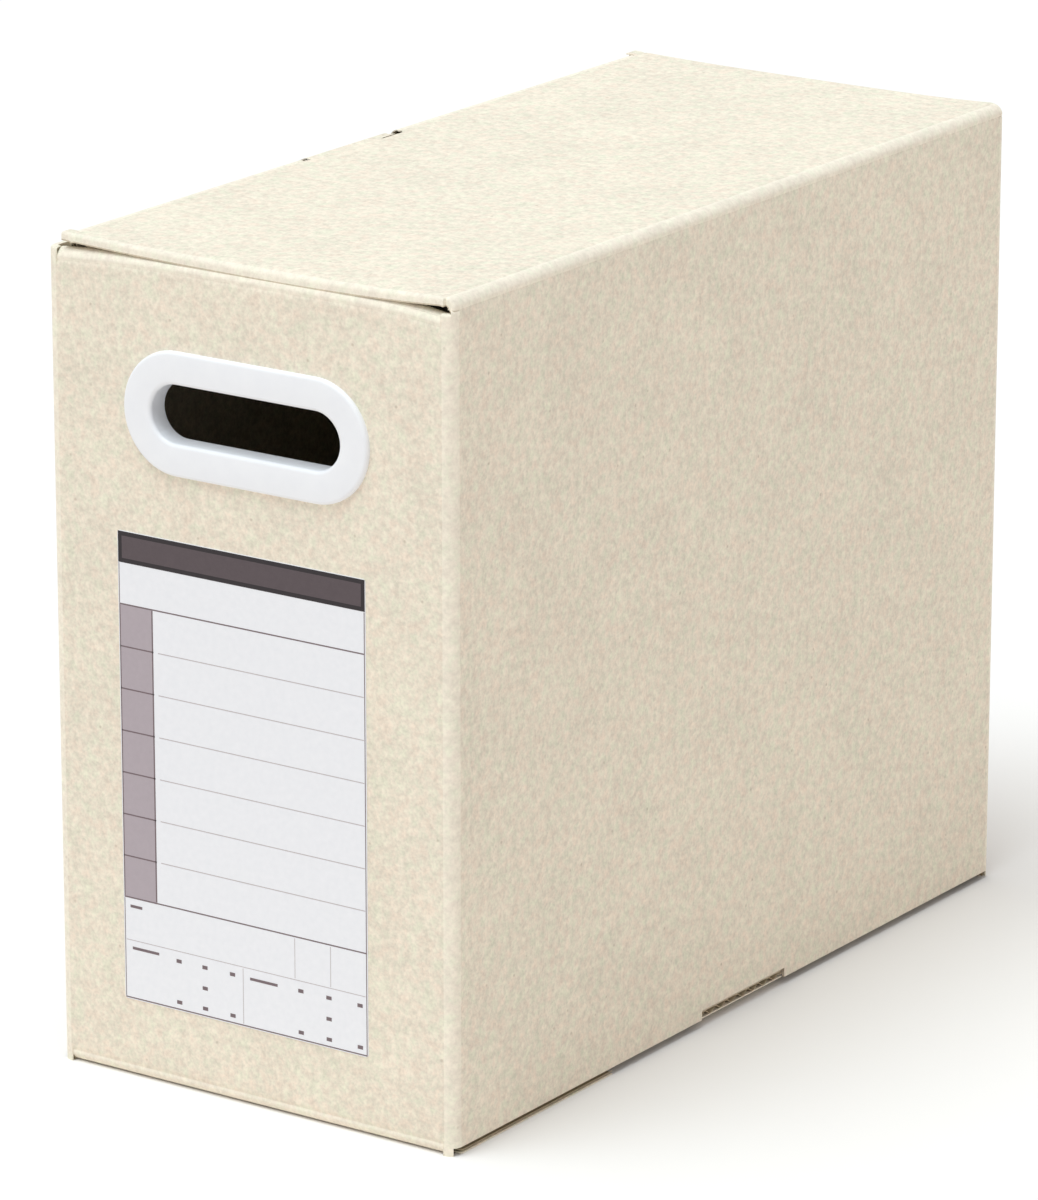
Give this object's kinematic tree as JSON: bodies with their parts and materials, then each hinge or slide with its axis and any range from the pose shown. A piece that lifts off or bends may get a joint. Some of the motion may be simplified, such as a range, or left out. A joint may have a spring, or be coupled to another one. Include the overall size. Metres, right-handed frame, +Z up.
{
  "type": "file storage box",
  "caption": "Upright file box of corrugated board with a hinged tuck-in lid, tongue pull, two dust flaps, a ringed hand hole and a ruled index label on its narrow front.",
  "frame": {"origin": "middle of the footprint, on the surface that the box stands on", "axes": "+Z up, -Y towards the narrow front with the hand hole, +X to the right seen from the front"},
  "size_m": [0.152, 0.3196, 0.27],
  "materials": {
    "board": "matt speckled recycled liner",
    "ring_plastic": "satin moulded white",
    "label_paper": "smooth uncoated white with grey rules"
  },
  "bodies": {
    "carcass": {"front_wall": "board", "back_wall": "board", "right_wall": "board", "left_wall": "board", "glue_tab": "board", "front_base_flap": "board", "rear_base_flap": "board", "base_panel": "board", "base_flange": "board", "handle_bezel": "ring_plastic", "handle_retainer": "ring_plastic", "index_label": "label_paper"},
    "lid": {"lid": "board"},
    "tuck_flap": {"tuck_flap": "board"},
    "front_dust_flap": {"front_dust_flap": "board"},
    "rear_dust_flap": {"rear_dust_flap": "board"}
  },
  "joints": [
    {"name": "lid_hinge", "type": "hinge", "parent": "carcass", "child": "lid", "pos_m": [0.07499, 0, 0.26899], "axis": [0, 1, 0], "range_deg": [0, 180]},
    {"name": "tuck_fold", "type": "hinge", "parent": "lid", "child": "tuck_flap", "pos_m": [-0.06939, 0, 0.26899], "axis": [0, 1, 0], "range_deg": [0, 36]},
    {"name": "front_dust_fold", "type": "hinge", "parent": "carcass", "child": "front_dust_flap", "pos_m": [0, -0.15719, 0.26609], "axis": [1, 0, 0], "range_deg": [0, 90]},
    {"name": "rear_dust_fold", "type": "hinge", "parent": "carcass", "child": "rear_dust_flap", "pos_m": [0, 0.15879, 0.26609], "axis": [-1, 0, 0], "range_deg": [0, 90]}
  ],
  "couplings": [
    {"joint": "tuck_fold", "follows": "lid_hinge", "ratio": 0.2},
    {"joint": "front_dust_fold", "follows": "lid_hinge", "ratio": 0.5},
    {"joint": "rear_dust_fold", "follows": "lid_hinge", "ratio": 0.5}
  ]
}
